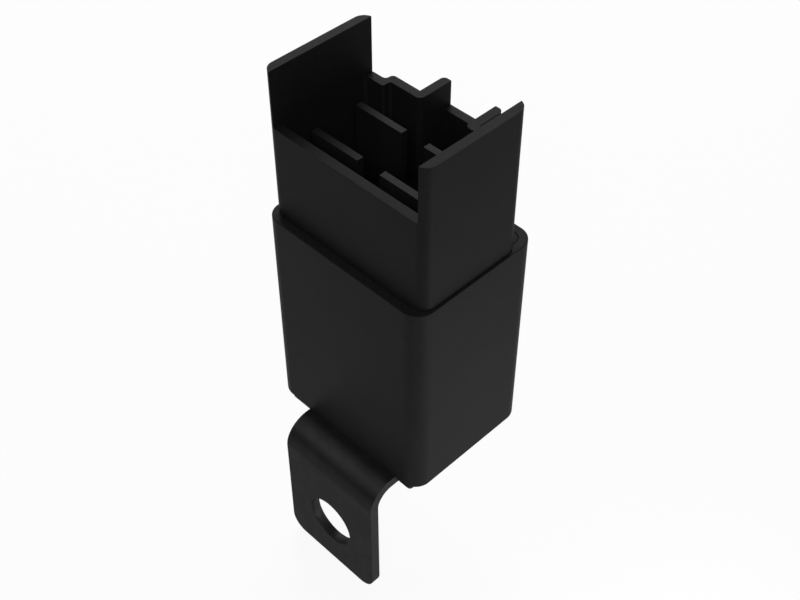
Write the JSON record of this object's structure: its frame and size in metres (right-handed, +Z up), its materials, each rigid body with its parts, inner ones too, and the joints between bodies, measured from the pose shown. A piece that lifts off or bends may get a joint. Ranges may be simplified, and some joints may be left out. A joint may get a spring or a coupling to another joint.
{
  "type": "automotive relay",
  "caption": "Sealed relay with an open connector shroud, flat blades, a latch bay behind, a rounded cover and a steel fixing bracket.",
  "frame": {"origin": "centre of the bracket's fixing hole, on the tab's front face", "axes": "+Z up towards the blades, -Y out of the tab's front face, +X along the blades"},
  "size_m": [0.0215, 0.0221, 0.0608],
  "materials": {
    "black_moulding": "fine matt black moulding",
    "black_steel": "matt black coated steel",
    "compound": "poured black resin",
    "blade_metal": "dark tin, dull",
    "bobbin_moulding": "natural glass-filled moulding",
    "enamelled_copper": "enamelled copper wire",
    "soft_iron": "zinc plated soft iron",
    "spring_steel": "plain spring steel",
    "leaf_copper": "copper alloy strip and braid",
    "contact_silver": "silver alloy",
    "resistor_lacquer": "lacquered body"
  },
  "bodies": {
    "case": {"base_shroud": "black_moulding", "cover": "black_moulding", "bracket": "black_steel", "sealing_compound": "compound", "adhesive_ring": "compound", "coil_terminal_front": "blade_metal", "coil_terminal_back": "blade_metal", "common_terminal": "blade_metal", "contact_terminal": "blade_metal", "bobbin": "bobbin_moulding", "coil_winding": "enamelled_copper", "coil_lead_front": "enamelled_copper", "coil_lead_back": "enamelled_copper", "core": "soft_iron", "yoke": "soft_iron", "hinge_clip": "spring_steel", "clip_rivet": "spring_steel", "return_spring": "spring_steel", "braid": "leaf_copper", "fixed_contact": "contact_silver", "back_stop": "spring_steel", "suppression_resistor": "resistor_lacquer"},
    "armature_set": {"armature": "soft_iron", "contact_leaf": "leaf_copper", "leaf_rivets": "spring_steel", "moving_contact": "contact_silver"}
  },
  "joints": [
    {"name": "armature_hinge", "type": "hinge", "parent": "case", "child": "armature_set", "pos_m": [-0.0101, 0.01195, 0.01695], "axis": [0, -1, 0], "range_deg": [0, 4], "stiffness_Nm_per_rad": 0.02, "springref_deg": -8.59, "deforming": ["return_spring", "braid"]}
  ]
}
